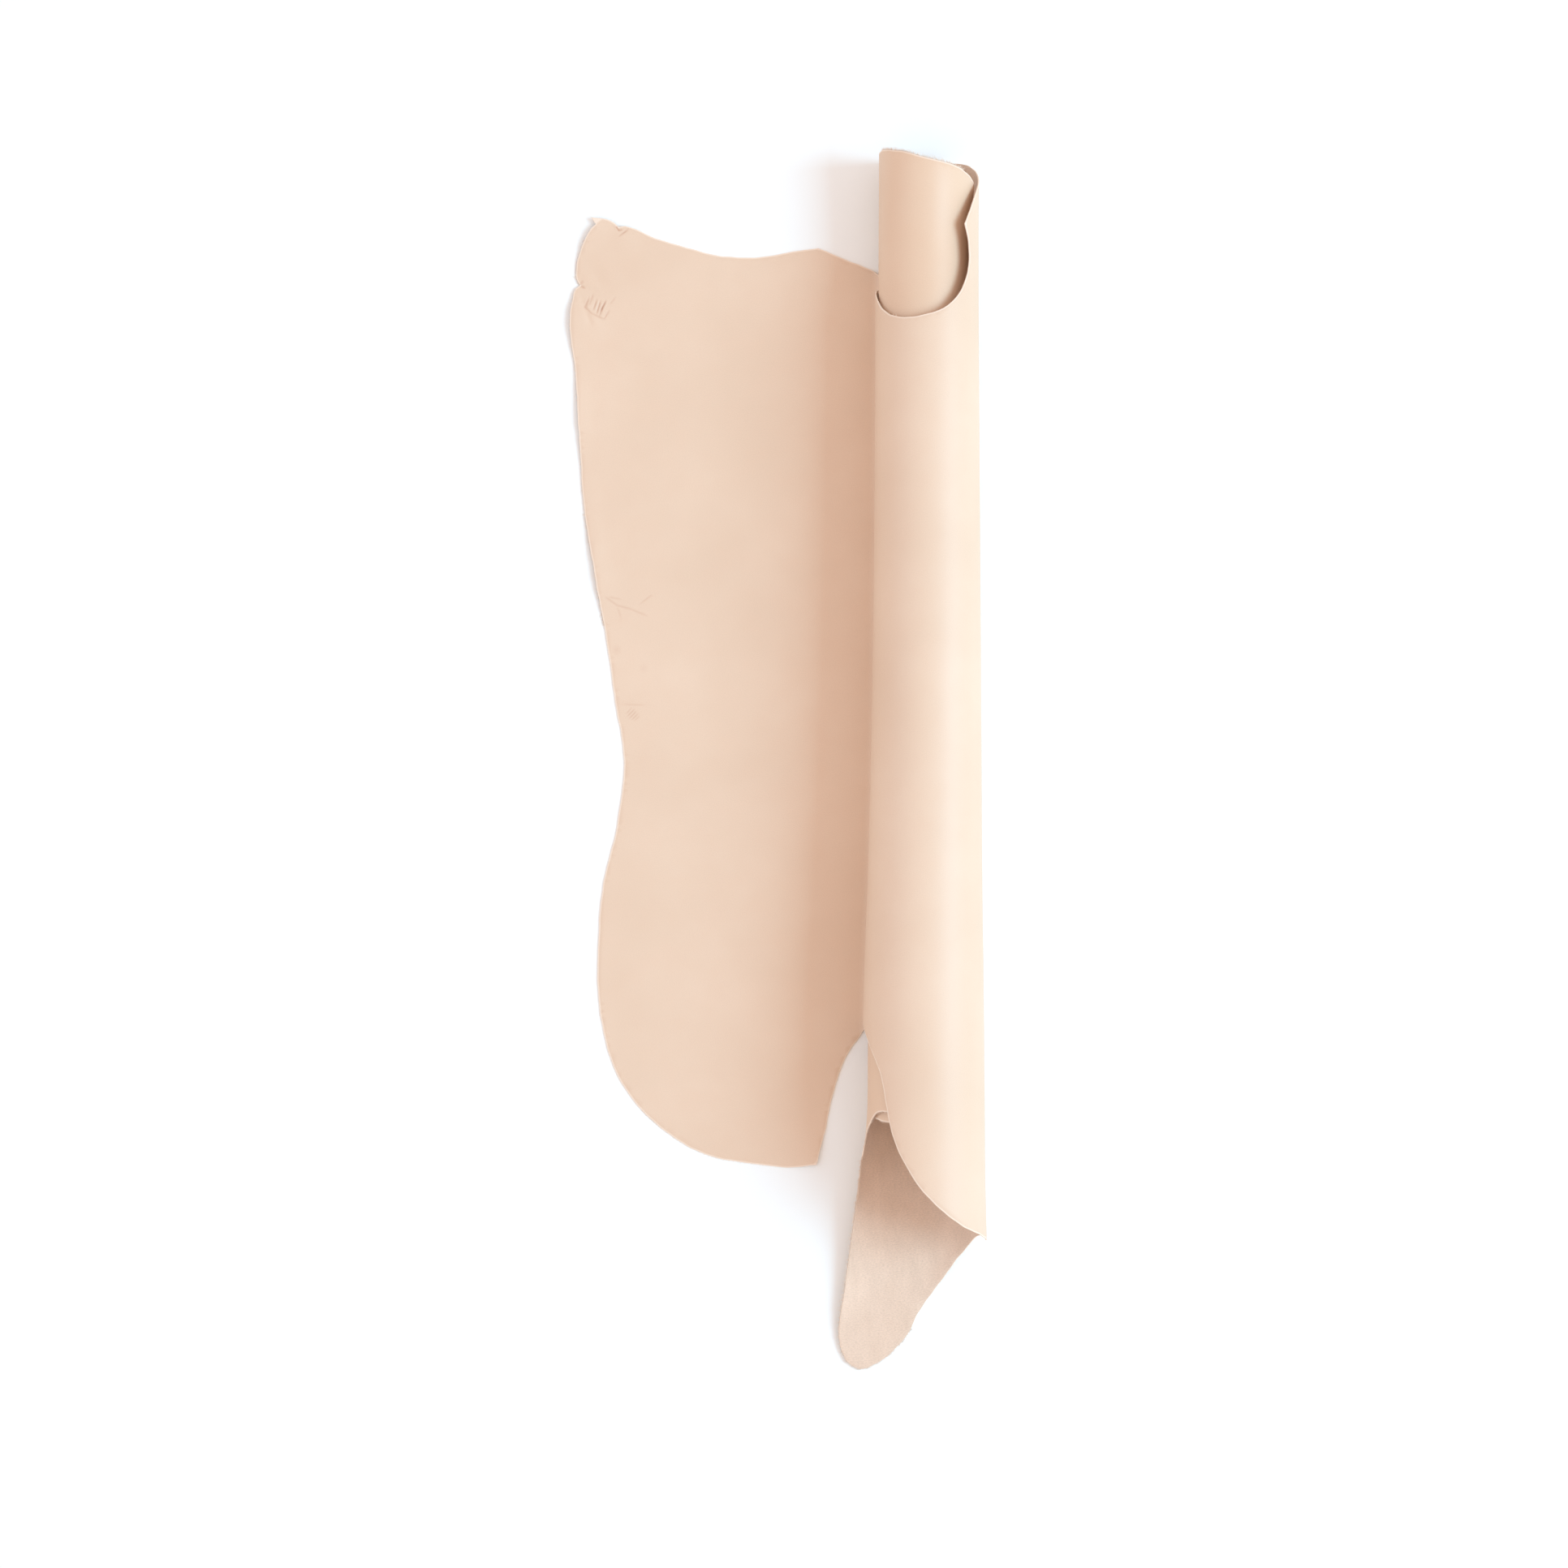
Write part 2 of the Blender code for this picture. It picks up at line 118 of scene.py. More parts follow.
# The cut edge, once round: part of the hide, place across in millimetres on the flat half,
# or else quarter turns of the roll from the valley, then place along in millimetres, and 1
# for a sharp corner.
EDGE = (
    ("neck tip", -213, 0, 627, 1), ("under tip", -207.6, 0, 620, 1), ("cheek", -214.7, 0, 612.5, 0),
    ("cheek", -225.6, 0, 590, 0), ("cheek", -230, 0, 572, 0), ("cheek", -229.6, 0, 560, 0),
    ("throat notch", -226, 0, 552.5, 1), ("throat", -231, 0, 548, 0), ("throat", -234, 0, 538, 0),
    ("throat", -236.8, 0, 508, 0), ("fore shank", -231, 0, 456, 0), ("fore shank", -227, 0, 390, 0),
    ("fore shank", -222, 0, 314, 0), ("belly", -207, 0, 218, 0), ("belly tuck", -199, 0, 176, 1),
    ("belly", -186, 0, 88, 0), ("belly", -177, 0, 25, 0), ("flank", -185, 0, -47, 0),
    ("flank", -200, 0, -112, 0), ("hind shank", -206, 0, -185, 0), ("hind shank", -203, 0, -256, 0),
    ("hind shank", -192, 0, -304, 0), ("hind shank", -170, 0, -346, 0), ("butt", -127, 0, -388, 0),
    ("butt", -79, 0, -413, 0), ("butt", -35, 0, -420.5, 0), ("butt", 5, 0, -424.5, 0),
    ("butt corner", 36, 0, -422, 1), ("tail notch side", 44, 0, -390, 0),
    ("tail notch side", 55, 0, -340, 0), ("tail notch side", 72, 0, -297, 0),
    ("tail notch", 0, 0.12, -271.5, 0), ("tail notch", 0, 0.55, -259, 0),
    ("rump", 0, 1.08, -264, 0), ("rump", 0, 1.34, -289, 0), ("rump", 0, 1.49, -314, 0),
    ("rump", 0, 1.57, -347, 0), ("rump", 0, 1.65, -376, 0), ("rump", 0, 1.80, -409, 0),
    ("rump", 0, 2.09, -449, 0), ("rump", 0, 2.37, -472, 0), ("rump", 0, 2.70, -487, 0),
    ("shank corner", 0, 2.98, -496, 1), ("shank", 0, 3.27, -495, 0), ("shank", 0, 3.56, -519, 0),
    ("shank", 0, 3.76, -545, 0), ("shank", 0, 3.99, -580, 0), ("shank", 0, 4.13, -617, 0),
    ("shank tip", 0, 4.30, -638.5, 0), ("shank tip", 0, 4.47, -647.5, 0),
    ("shank tip", 0, 4.68, -637, 0), ("shank side", 0, 4.81, -616, 0),
    ("shank side", 0, 4.81, -550, 0), ("shank side", 0, 4.82, -470, 0),
    ("shank side", 0, 4.85, -418, 0), ("shank root", 0, 5.00, -386, 0),
    ("second notch", 0, 5.20, -367, 0), ("second notch", 0, 5.36, -354.4, 0),
    ("second notch", 0, 5.60, -352, 0), ("second notch", 0, 6.10, -352, 0),
    ("right butt", 0, 6.80, -395, 0), ("right butt", 0, 7.50, -405, 0),
    ("right butt", 0, 8.20, -378, 0), ("right butt", 0, 8.80, -359, 0),
    ("right butt", 0, 9.20, -360.5, 0), ("right butt", 0, 9.45, -363.5, 0),
    ("right butt", 0, 9.80, -361, 0), ("right hind shank", 0, 10.00, -330, 0),
    ("right hind shank", 0, 10.04, -250, 0), ("right flank", 0, 9.90, -90, 0),
    ("right belly", 0, 9.70, 60, 0), ("right belly", 0, 9.85, 220, 0),
    ("right fore shank", 0, 10.10, 380, 0), ("right fore shank", 0, 9.90, 520, 0),
    ("right neck", 0, 9.20, 600, 0), ("right neck", 0, 8.20, 628, 0), ("poll", 0, 7.40, 640, 0),
    ("poll", 0, 6.94, 652, 0), ("poll", 0, 6.60, 662, 0), ("poll", 0, 6.40, 666.5, 0),
    ("poll", 0, 6.05, 672, 0), ("poll", 0, 5.64, 682, 0), ("poll", 0, 5.28, 688, 0),
    ("crown", 0, 4.90, 688, 0), ("crown", 0, 4.20, 688, 0), ("crown", 0, 3.63, 686, 0),
    ("crown", 0, 3.42, 682, 0), ("crown", 0, 3.22, 673.5, 0), ("crown", 0, 3.00, 660, 0),
    ("crown", 0, 2.75, 640, 0), ("ear notch", 0, 2.49, 605, 1), ("bay", 0, 2.56, 590, 0),
    ("bay", 0, 2.57, 558, 0), ("bay", 0, 2.42, 531.5, 0), ("bay", 0, 2.19, 513, 0),
    ("bay", 0, 1.87, 503, 0), ("bay", 0, 1.55, 504.5, 0), ("bay", 0, 1.30, 515.5, 0),
    ("bay", 0, 1.10, 530, 0), ("bay foot", 0, 0.55, 548, 0), ("neck side", 0, 0.17, 564, 0),
    ("neck side", 66, 0, 581.5, 0), ("neck corner", 38, 0, 594, 1), ("neck", 11, 0, 590, 0),
    ("neck", -34, 0, 583, 0), ("neck", -68, 0, 585, 0), ("neck", -113.5, 0, 596, 0),
    ("neck", -143.5, 0, 605, 0), ("neck", -169, 0, 616, 0), ("neck", -176.5, 0, 618, 0),
    ("neck notch", -183, 0, 617, 1), ("neck", -187, 0, 621, 0), ("neck", -194, 0, 624.6, 0),
    ("neck", -204, 0, 626.3, 0),
)

# Where the flat half stands a little off the floor: across, along, reach across, reach
# along and height in millimetres. The lifts fade out over LIFT_FADE before the roll.
LIFT_FADE = 30 * MM
LIFTS = (
    (-222, 622, 34, 34, 5.0), (-240, 515, 26, 34, 4.0), (-232, 400, 26, 48, 3.0),
    (-212, 235, 24, 46, 3.5), (-176, 606, 16, 14, 2.0), (34, -414, 26, 22, 2.5),
)


def smooth(at, places, values):
    """Curve through values at ascending places: between two places a cubic Hermite, whose
    slope at each place is the length-weighted mean of the slopes on both sides."""
    at = np.clip(at, places[0], places[-1])
    step = np.diff(places)
    rise = np.diff(values) / step
    slope = np.concatenate((rise[:1], (rise[:-1] * step[1:] + rise[1:] * step[:-1])
                            / (step[1:] + step[:-1]), rise[-1:]))
    k = np.clip(np.searchsorted(places, at, side="right") - 1, 0, len(step) - 1)
    h = step[k]
    t = (at - places[k]) / h
    return ((2 * t**3 - 3 * t**2 + 1) * values[k] + (t**3 - 2 * t**2 + t) * h * slope[k]
            + (3 * t**2 - 2 * t**3) * values[k + 1] + (t**3 - t**2) * h * slope[k + 1])


def turning_points(along):
    """Across and height of the valley's start and of each side, top and floor point of the
    roll, in the order in which the skin passes them: each inner turn stands inside the
    turn around it by its gap."""
    left, right, seat, second, second_z, lead, drop = (smooth(along, ROLL[:, 0], column)
                                                       for column in ROLL[:, 1:].T)
    middle = 0.5 * (left + right)
    top = ROLL_SQUASH * (right - left)
    second_top = top - drop
    second_right = right - lead
    third_left = np.maximum(second, left + THIRD_LEFT_LEAST) + THIRD_LEFT_GAP
    zero = np.zeros_like(top)
    x = (left - VALLEY_LEAD, left, middle, right, seat, second, middle - SECOND_SHIFT, second_right,
         seat - SECOND_SHIFT, third_left, middle, second_right - THIRD_RIGHT_GAP)
    z = (zero, OUTER_WAIST * top, top, OUTER_WAIST * top, zero, second_z, second_top, INNER_WAIST * top,
         zero + THIRD_FLOOR_GAP, INNER_WAIST * top, second_top - THIRD_TOP_GAP, INNER_WAIST * top)
    return np.array(x), np.array(z)


def laid(turn, along):
    """Place of a point of the skin's middle layer. Below turn 0 it lies on the floor. On
    the roll it is on the cubic Bezier curve between two turning points, with level handles
    at tops and floors and upright ones at sides. The lifts are bell curves of the distance
    to their middles."""
    x, z = turning_points(along)
    k = np.clip(np.floor(turn).astype(int), 0, len(x) - 2)
    t = np.clip(turn, 0, None) - k
    at = np.arange(len(k))
    x0, x3, z0, z3 = x[k, at], x[k + 1, at], z[k, at], z[k + 1, at]
    level = k % 2 == 0
    x1 = np.where(level, x0 + ROUND * (x3 - x0), x0)
    z1 = np.where(level, z0, z0 + ROUND * (z3 - z0))
    x2 = np.where(level, x3, x3 - ROUND * (x3 - x0))
    z2 = np.where(level, z3 - ROUND * (z3 - z0), z3)
    x1 = np.where(k == 0, x0 + VALLEY_REACH, x1)
    z2 = np.where(k == 0, z3 * (1 - WALL_PULL), z2)
    x1 = np.where(k == CREST_QUARTER, x0 + CREST_REACH * (x3 - x0), x1)
    z2 = np.where(k == CREST_QUARTER, z3 - SHOULDER * (z3 - z0), z2)
    b = ((1 - t)**3, 3 * (1 - t)**2 * t, 3 * (1 - t) * t**2, t**3)
    across = b[0] * x0 + b[1] * x1 + b[2] * x2 + b[3] * x3 + np.minimum(turn, 0) * FLAT_UNIT
    height = b[0] * z0 + b[1] * z1 + b[2] * z2 + b[3] * z3
    flat = np.clip(-turn * FLAT_UNIT / LIFT_FADE, 0, 1)
    for lx, ly, wx, wy, h in LIFTS:
        height = height + flat * h * MM * np.exp(-((across - lx * MM) / (wx * MM))**2
                                                 - ((along - ly * MM) / (wy * MM))**2)
    return np.stack((across, along, height + SHEET / 2), axis=-1)


def cut_edge(step):
    """The cut edge as a closed line of (turn, along) points about step apart: cubic Hermite
    pieces through the places of the table, their slopes taken from both neighbours, and
    from one side only at a sharp corner."""
    turn, across, along = (np.array([row[i] for row in EDGE], float) for i in (2, 1, 3))
    along *= MM
    valley = turning_points(along)[0][0]
    turn = np.where(turn == 0, (across * MM - valley) / FLAT_UNIT, turn)
    corner = np.array([row[4] for row in EDGE])[:, None] == 1
    p = np.stack((turn * FLAT_UNIT, along), axis=-1)
    before, after = np.roll(p, 1, axis=0), np.roll(p, -1, axis=0)
    came = np.linalg.norm(p - before, axis=1)[:, None]
    goes = np.linalg.norm(after - p, axis=1)[:, None]
    slope = ((p - before) / came * goes + (after - p) / goes * came) / (came + goes)
    leave = np.where(corner, (after - p) / goes, slope)
    arrive = np.where(corner, (p - before) / came, slope)
    line = []
    for i in range(len(p)):
        j = (i + 1) % len(p)
        count = max(2, round(goes[i, 0] / step))
        t = np.arange(count)[:, None] / count
        line.append((2 * t**3 - 3 * t**2 + 1) * p[i] + (t**3 - 2 * t**2 + t) * goes[i] * leave[i]
                    + (3 * t**2 - 2 * t**3) * p[j] + (t**3 - t**2) * goes[i] * arrive[j])
    return np.concatenate(line) / np.array((FLAT_UNIT, 1.0))


# The waver of the hand-held knife: height in millimetres, then for each of two sines the
# millimetres run in one radian and the start in radians.
WAVER = ((0.26, 7.3, 0.0, 31.0, 1.0), (0.16, 3.1, 2.0, 53.0, 0.0))
SLOW_WAVER = (0.20, 17.0, 0.5)


def trimmed(line):
    """The hand-cut edge: each point is moved along the edge's own normal by a sum of sines
    of the distance run along it, up to about half a millimetre."""
    p = line * np.array((FLAT_UNIT, 1.0))
    ahead = np.roll(p, -1, axis=0) - np.roll(p, 1, axis=0)
    ahead /= np.linalg.norm(ahead, axis=1)[:, None]
    run = np.cumsum(np.linalg.norm(p - np.roll(p, 1, axis=0), axis=1)) / MM
    height, reach, start = SLOW_WAVER
    waver = height * np.sin(run / reach + start)
    for height, reach, start, slow_reach, slow_start in WAVER:
        waver += height * np.sin(run / reach + start) * np.sin(run / slow_reach + slow_start)
    outward = np.stack((ahead[:, 1], -ahead[:, 0]), axis=-1)
    return (p + outward * waver[:, None] * MM) / np.array((FLAT_UNIT, 1.0))


# So many points are compared with the whole edge at a time, which saves memory.
AT_ONCE = 2000


def within(points, line):
    """True for the points inside the closed line: a level ray crosses it an odd number of
    times. Points are taken AT_ONCE at a time."""
    a, b = line, np.roll(line, -1, axis=0)
    inside = np.zeros(len(points), bool)
    for part in range(0, len(points), AT_ONCE):
        x, y = points[part:part + AT_ONCE, :1], points[part:part + AT_ONCE, 1:]
        spans = (a[:, 1] > y) != (b[:, 1] > y)
        drop = np.where(b[:, 1] == a[:, 1], 1.0, b[:, 1] - a[:, 1])
        crosses = x < (b[:, 0] - a[:, 0]) * (y - a[:, 1]) / drop + a[:, 0]
        inside[part:part + AT_ONCE] = (spans & crosses).sum(axis=1) % 2 == 1
    return inside


def edge_distance(points, line):
    """Distance of each point to the nearest point of the line."""
    nearest = np.empty(len(points))
    for part in range(0, len(points), AT_ONCE):
        gap = points[part:part + AT_ONCE, None] - line[None]
        nearest[part:part + AT_ONCE] = np.sqrt((gap**2).sum(axis=2).min(axis=1))
    return nearest


# The table of lengths reaches past the inmost cut edge, to the last turning point.
LAST_TURN = 11
TURN_STEPS = 550
PLACE_STEPS = 59


def run_across(turn, along):
    """Distance across the unrolled skin from the valley: the summed length of the section
    curve, read from a table over turn and along with linear steps between its entries."""
    turns = np.linspace(0, LAST_TURN, TURN_STEPS + 1)
    places = np.linspace(along.min(), along.max(), PLACE_STEPS + 1)
    u, v = np.meshgrid(turns, places, indexing="ij")
    p = laid(u.ravel(), v.ravel()).reshape(u.shape + (3,))
    hops = np.linalg.norm(np.diff(p, axis=0)[..., ::2], axis=-1)
    table = np.concatenate((np.zeros((1, len(places))), np.cumsum(hops, axis=0)))
    i = np.clip(turn, 0, LAST_TURN) / LAST_TURN * TURN_STEPS
    j = (along - places[0]) / (places[-1] - places[0]) * PLACE_STEPS
    i0, j0 = np.minimum(i.astype(int), TURN_STEPS - 1), np.minimum(j.astype(int), PLACE_STEPS - 1)
    fi, fj = i - i0, j - j0
    run = ((1 - fi) * (1 - fj) * table[i0, j0] + fi * (1 - fj) * table[i0 + 1, j0]
           + (1 - fi) * fj * table[i0, j0 + 1] + fi * fj * table[i0 + 1, j0 + 1])
    return run + np.minimum(turn, 0) * FLAT_UNIT


# Creases: across, along, angle in degrees, length, width and rise, the others in
# millimetres. In order: the comb of growth wrinkles on the neck with its foot line, the tuck
# and two wrinkles at the neck notch, the pinch at the throat, soft folds of the neck, fine
# arcs and slanted wrinkles of the belly, and the slack of the left edge.
CREASES = (
    (-218.6, 533.2, 67, 12, 0.9, -0.6), (-213.8, 536.5, 72, 13, 0.9, -0.5),
    (-209.7, 530.8, 71, 12, 0.9, -0.6), (-205.7, 528.3, 73, 14, 0.9, -0.8),
    (-203.0, 523.8, 72, 11, 0.9, -0.6), (-200.5, 529.6, 64, 12, 1.0, -0.9),
    (-196.7, 520.2, 58, 11, 0.9, -0.45), (-190.3, 535.5, 52, 9, 0.9, -0.3),
    (-216.0, 531.5, 70, 12, 0.9, 0.4), (-207.6, 531.0, 71, 12, 0.8, 0.4),
    (-198.6, 530.5, 64, 11, 0.9, 0.5), (-217.8, 525.5, -44, 11, 0.9, -0.4),
    (-207.5, 518.6, -24, 17, 0.9, -0.45), (-207.0, 520.8, -24, 17, 0.9, 0.35),
    (-184.9, 615.4, -50, 6, 0.8, -0.9), (-181.6, 613.6, 12, 4.5, 0.8, -0.7),
    (-186.8, 616.6, -55, 6, 1.0, 0.5), (-178.4, 609.8, 37, 11, 0.8, -0.55),
    (-176.0, 612.4, 37, 9, 0.8, -0.35), (-180.0, 608.0, 38, 9, 0.9, 0.3),
    (-223.6, 550.9, -26, 6, 1.1, -0.7), (-224.3, 555.8, 50, 5, 1.2, -0.4),
    (-219.0, 553.4, -22, 14, 2.0, 0.5), (-206.0, 561.5, -40, 26, 6.0, -0.9),
    (-212.0, 555.0, -34, 28, 4.5, 0.7), (-200.0, 570.0, -40, 30, 7.0, 0.5),
    (-217.7, 520.0, -70, 44, 3.4, -0.7), (-212.2, 517.0, -68, 40, 4.5, 0.6),
    (-191.7, 202.5, -35, 17, 0.9, -0.40), (-177.0, 195.8, -15, 18, 0.9, -0.40),
    (-161.0, 190.0, -22, 18, 0.9, -0.35), (-188.0, 206.0, -12, 14, 0.9, -0.3),
    (-153.0, 205.0, 37, 18, 0.9, -0.3), (-183.0, 190.0, -70, 12, 0.9, -0.25),
    (-170.0, 79.0, 45, 11, 0.8, -0.45), (-168.0, 76.6, 45, 11, 0.8, -0.45),
    (-165.6, 74.6, 44, 10, 0.8, -0.4), (-172.4, 81.0, 46, 9, 0.8, -0.3),
    (-163.4, 72.6, 42, 8, 0.8, -0.3), (-168.0, 88.0, -2, 26, 1.0, -0.25),
    (-187.0, 147.0, 30, 5, 0.9, -0.4), (-155.0, 128.0, 75, 9, 0.9, -0.3),
    (-227.0, 430.0, 88, 70, 8.0, 0.7), (-214.0, 395.0, 86, 80, 9.0, -0.5),
    (-212.0, 300.0, 98, 80, 9.0, 0.8), (-199.0, 270.0, 100, 80, 9.0, -0.6),
)

# A crease narrower than this, in millimetres, also gets painted shade at its bottom.
NARROW = 1.3


def relief(turn, along):
    """Height of the creases of the flat half over the smooth skin, in metres, and how deep
    each point lies in a narrow one, from 0 to 1. Each crease is a ridge or trough: a bell
    curve across it that fades towards both of its ends."""
    x = laid(turn, along)[:, 0]
    height, depth = np.zeros_like(x), np.zeros_like(x)
    for cx, cy, angle, length, width, rise in CREASES:
        c, s = math.cos(math.radians(angle)), math.sin(math.radians(angle))
        dx, dy = x - cx * MM, along - cy * MM
        lengthwise, sideways = dx * c + dy * s, -dx * s + dy * c
        shape = np.exp(-(sideways / (width * MM))**2 - np.abs(lengthwise / (0.5 * length * MM))**4)
        height += rise * MM * shape
        depth += (width < NARROW) * max(-rise, 0) * shape
    return np.where(turn < 0, height, 0.0), np.where(turn < 0, np.clip(depth, 0, 1), 0.0)


# Parts of the flat half with a fine mesh: across and along from and to, and the mesh's
# pitch, in millimetres.
CREASED = (
    (-227, -186, 511, 546, 0.75), (-191, -170, 601, 618, 0.75), (-230, -205, 541, 562, 0.9),
    (-200, -147, 184, 212, 0.95), (-181, -155, 67, 90, 0.8),
)

# The mesh over the rest of the skin: turns from and to, and the pitch in turns, finest where
# the skin leaves the floor and coarsest inside the roll. Every other line of points is moved
# by half a step, and no point stands closer to the edge than EDGE_CLEAR.
EDGE_STEP = 2.5 * MM
EDGE_CLEAR = 1.2 * MM
LINES = ((-3.5, -0.02, 0.06), (0, 0.6, 0.025), (0.6, 7.0, 0.05), (7.0, 10.6, 0.09))
POINTS_IN_LINE = 168
FINE_MARGIN = 2 * MM
FINE_MARGIN_TURNS = 0.02

edge = trimmed(cut_edge(EDGE_STEP))
across_lines = np.concatenate([np.arange(begins, ends, pitch) for begins, ends, pitch in LINES])
along_lines = np.linspace(edge[:, 1].min(), edge[:, 1].max(), POINTS_IN_LINE)
u, v = np.meshgrid(across_lines, along_lines, indexing="ij")
v[::2] += 0.5 * (along_lines[1] - along_lines[0])
net = np.stack((u.ravel(), v.ravel()), axis=-1)
for left, right, low, high, pitch in CREASED:
    v, x = np.meshgrid(np.arange(low, high, pitch) * MM, np.arange(left, right, pitch) * MM)
    u = (x - turning_points(v.ravel())[0][0].reshape(v.shape)) / FLAT_UNIT
    begins, ends = u[0, 0] - FINE_MARGIN_TURNS, u[-1, 0] + FINE_MARGIN_TURNS
    bared = ((net[:, 0] > begins) & (net[:, 0] < ends)
             & (net[:, 1] > low * MM - FINE_MARGIN) & (net[:, 1] < high * MM + FINE_MARGIN))
    net = np.concatenate((net[~bared], np.stack((u.ravel(), v.ravel()), axis=-1)))
scaled = np.array((FLAT_UNIT, 1.0))
net = net[within(net, edge)]
net = net[edge_distance(net * scaled, edge * scaled) > EDGE_CLEAR]
ring = len(edge)
flat_points = np.concatenate((edge, net)) * scaled
ring_edges = np.stack((np.arange(ring), (np.arange(ring) + 1) % ring), axis=-1)

# Triangles inside the closed edge only. The triangulation renumbers the points: order holds
# the new number of each point of the edge.
INSIDE_ONLY = 1
MERGE_WITHIN = 1e-7
found = delaunay_2d_cdt([tuple(p) for p in flat_points.tolist()], ring_edges.tolist(), [],
                        INSIDE_ONLY, MERGE_WITHIN)
flat_points = np.array([tuple(p) for p in found[0]])
triangles = np.array(found[2])
order = np.full(ring, -1)
for new, old in enumerate(found[3]):
    for o in old:
        if o < ring:
            order[o] = new
turn, along = flat_points[:, 0] / FLAT_UNIT, flat_points[:, 1]

# The skin's normal stands square to both of its slopes, taken over a NUDGE to each side. The
# finished hide is centred on the origin in plan.
NUDGE = 1e-4
middle_layer = laid(turn, along)
slope_across = laid(turn + NUDGE, along) - laid(turn - NUDGE, along)
slope_along = laid(turn, along + NUDGE) - laid(turn, along - NUDGE)
normal = np.cross(slope_across, slope_along)
normal /= np.linalg.norm(normal, axis=1)[:, None]
centre = 0.5 * (middle_layer.min(axis=0) + middle_layer.max(axis=0)) * np.array((1.0, 1.0, 0.0))
crease_height, crease_depth = relief(turn, along)
middle_layer = middle_layer - centre + normal * crease_height[:, None]
across_run = run_across(turn, along)
to_edge = edge_distance(flat_points, flat_points[order])

# Grain and flesh side stand half the thickness off the middle layer. Between their edges
# run the rows of the rim, a half ellipse that stands RIM_BULGE millimetres out. No point
# lies below the floor.
RIM_BULGE = 0.28
RIM_ROWS = 5
count = len(middle_layer)
lift = np.cos(np.linspace(0, math.pi, RIM_ROWS + 2))[1:-1]
bulge = np.sqrt(1 - lift**2) * RIM_BULGE * MM
rim_out = np.cross(middle_layer[np.roll(order, -1)] - middle_layer[np.roll(order, 1)], normal[order])
rim_out /= np.linalg.norm(rim_out, axis=1)[:, None]
rim = [middle_layer[order] + normal[order] * h * SHEET / 2 + rim_out * b for h, b in zip(lift, bulge)]
points = np.concatenate([middle_layer + normal * SHEET / 2, middle_layer - normal * SHEET / 2] + rim)
points[:, 2] = np.maximum(points[:, 2], 0.0)

# Triangles of the grain side face outwards, those of the flesh side are turned over.
grain_first = np.cross(flat_points[triangles[:, 1]] - flat_points[triangles[:, 0]],
                       flat_points[triangles[:, 2]] - flat_points[triangles[:, 0]]) > 0
triangles = np.where(grain_first[:, None], triangles, triangles[:, ::-1])
rows = [order] + [2 * count + i * ring + np.arange(ring) for i in range(RIM_ROWS)] + [order + count]
band = []
for upper, lower in zip(rows[:-1], rows[1:]):
    band.append(np.stack((upper, lower, np.roll(lower, -1), np.roll(upper, -1)), axis=-1))
band = np.concatenate(band)
corners = np.concatenate((triangles.ravel(), (triangles[:, ::-1] + count).ravel(), band.ravel()))
sizes = np.concatenate((np.full(2 * len(triangles), 3), np.full(len(band), 4)))
starts = np.concatenate(([0], np.cumsum(sizes)[:-1]))
finish = np.concatenate((np.zeros(len(triangles), int), np.ones(len(triangles), int),
                         np.full(len(band), 2)))

mesh = bpy.data.meshes.new("skin")
mesh.vertices.add(len(points))
mesh.vertices.foreach_set("co", points.ravel())
mesh.loops.add(len(corners))
mesh.loops.foreach_set("vertex_index", corners.astype(np.int32))
mesh.polygons.add(len(sizes))
mesh.polygons.foreach_set("loop_start", starts.astype(np.int32))
mesh.polygons.foreach_set("material_index", finish.astype(np.int32))
mesh.polygons.foreach_set("use_smooth", np.ones(len(sizes), bool))
mesh.update(calc_edges=True)
mesh.validate()

# The skin's own map: across and along the unrolled hide, one map width for MAP_SPAN metres,
# moved by MAP_LEFT and MAP_FOOT metres to lie inside it, the flesh side in the half beside
# the grain side, and the rim on the grain side's edge.
MAP_SPAN = 2.8
MAP_LEFT = 0.36
MAP_FOOT = 0.68
FLESH_HALF = 0.5

# The inner turns begin here, where the outer one covers them; they get a painted warm shade.
COVERED_FROM = 4.6
row_of = np.concatenate([np.arange(count), np.arange(count)] + [order] * RIM_ROWS)
map_u = (across_run[row_of] + MAP_LEFT) / MAP_SPAN
map_v = (along[row_of] + MAP_FOOT) / MAP_SPAN
map_u[count:2 * count] += FLESH_HALF
place_map = mesh.uv_layers.new(name="skin_map")
place_map.data.foreach_set("uv", np.stack((map_u, map_v), axis=-1)[corners].astype(np.float32).ravel())
nearness = mesh.attributes.new("to_edge", "FLOAT", "POINT")
nearness.data.foreach_set("value", to_edge[row_of].astype(np.float32))
# Depth in narrow creases: the mask of their painted shade.
creased = mesh.attributes.new("crease", "FLOAT", "POINT")
creased.data.foreach_set("value", crease_depth[row_of].astype(np.float32))
# The inner turns: the mask of their painted warm shade.
covered = mesh.attributes.new("covered", "FLOAT", "POINT")
inner_turns = np.clip(turn - COVERED_FROM, 0, 1)
covered.data.foreach_set("value", inner_turns[row_of].astype(np.float32))

skin = bpy.data.objects.new("skin", mesh)
bpy.context.scene.collection.objects.link(skin)
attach(skin, "root")
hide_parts("calfskin")


def finish_of(name):
    """A new material with its shader and its node tree."""
    material = bpy.data.materials.new(name)
    material.use_nodes = True
    tree = material.node_tree
    return material, tree, tree.nodes["Principled BSDF"]


def mapped(tree, scale):
    """The skin's map brought back to metres and stretched by scale."""
    where = tree.nodes.new("ShaderNodeUVMap")
    where.uv_map = "skin_map"
    size = tree.nodes.new("ShaderNodeMapping")
    size.inputs["Scale"].default_value = tuple(MAP_SPAN * s for s in scale)
    tree.links.new(where.outputs["UV"], size.inputs["Vector"])
    return size.outputs["Vector"]


